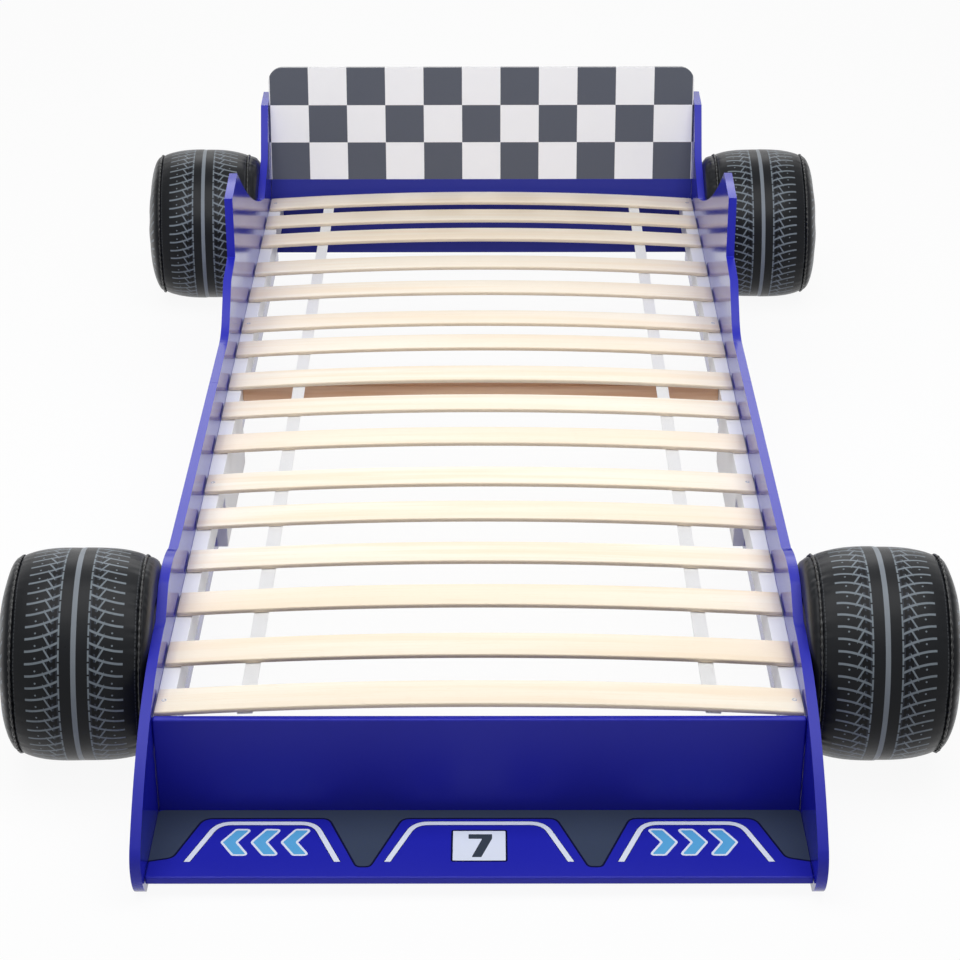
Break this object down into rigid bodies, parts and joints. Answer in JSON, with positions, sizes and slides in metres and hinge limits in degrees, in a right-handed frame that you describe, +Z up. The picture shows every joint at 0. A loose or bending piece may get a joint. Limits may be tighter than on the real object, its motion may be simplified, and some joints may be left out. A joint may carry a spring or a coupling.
{
  "type": "children's car bed",
  "caption": "Low children's bed shaped like a racing car: lacquered side panels with fins, leaning checker headboard, nose tray, sprung slat base and stuffed tyre cushions.",
  "frame": {"origin": "on the floor, below the middle of the overall length and width", "axes": "+Y runs from the nose to the headboard, +X to the right when looking along +Y, +Z up"},
  "size_m": [1.404, 2.291, 0.47],
  "materials": {
    "beam_timber": "planed pine, clear matt",
    "blue_board": "high-gloss blue lacquer on MDF board",
    "plywood": "raw plywood",
    "printed_board": "high-gloss blue MDF board with a printed grey and white checker panel",
    "slat_wood": "moulded birch veneer slat, clear satin",
    "webbing": "woven polyester webbing",
    "wheel_leatherette": "printed black leatherette, semi-matt, stuffed",
    "white_board": "white melamine-faced board, satin",
    "white_timber": "white melamine-faced timber, satin",
    "zinc_steel": "zinc-plated steel"
  },
  "bodies": {
    "root": {"beam_brackets": "zinc_steel", "cross_beam": "beam_timber", "footboard": "blue_board", "headboard": "printed_board", "nose_tray": "blue_board", "rail_front_left": "white_timber", "rail_front_right": "white_timber", "rail_rear_left": "white_timber", "rail_rear_right": "white_timber", "side_panel_front_left": "blue_board", "side_panel_front_right": "blue_board", "side_panel_rear_left": "blue_board", "side_panel_rear_right": "blue_board", "slat_01": "slat_wood", "slat_02": "slat_wood", "slat_03": "slat_wood", "slat_04": "slat_wood", "slat_05": "slat_wood", "slat_06": "slat_wood", "slat_07": "slat_wood", "slat_08": "slat_wood", "slat_09": "slat_wood", "slat_10": "slat_wood", "slat_11": "slat_wood", "slat_12": "slat_wood", "slat_13": "slat_wood", "slat_14": "slat_wood", "slat_15": "slat_wood", "slat_16": "slat_wood", "splice_plate_left": "white_board", "splice_plate_right": "white_board", "strap_left": "webbing", "strap_right": "webbing", "wheel_bolts": "zinc_steel", "wheel_front_left": "wheel_leatherette", "wheel_front_right": "wheel_leatherette", "wheel_hub_front_left": "plywood", "wheel_hub_front_right": "plywood", "wheel_hub_rear_left": "plywood", "wheel_hub_rear_right": "plywood", "wheel_rear_left": "wheel_leatherette", "wheel_rear_right": "wheel_leatherette"}
  },
  "joints": []
}
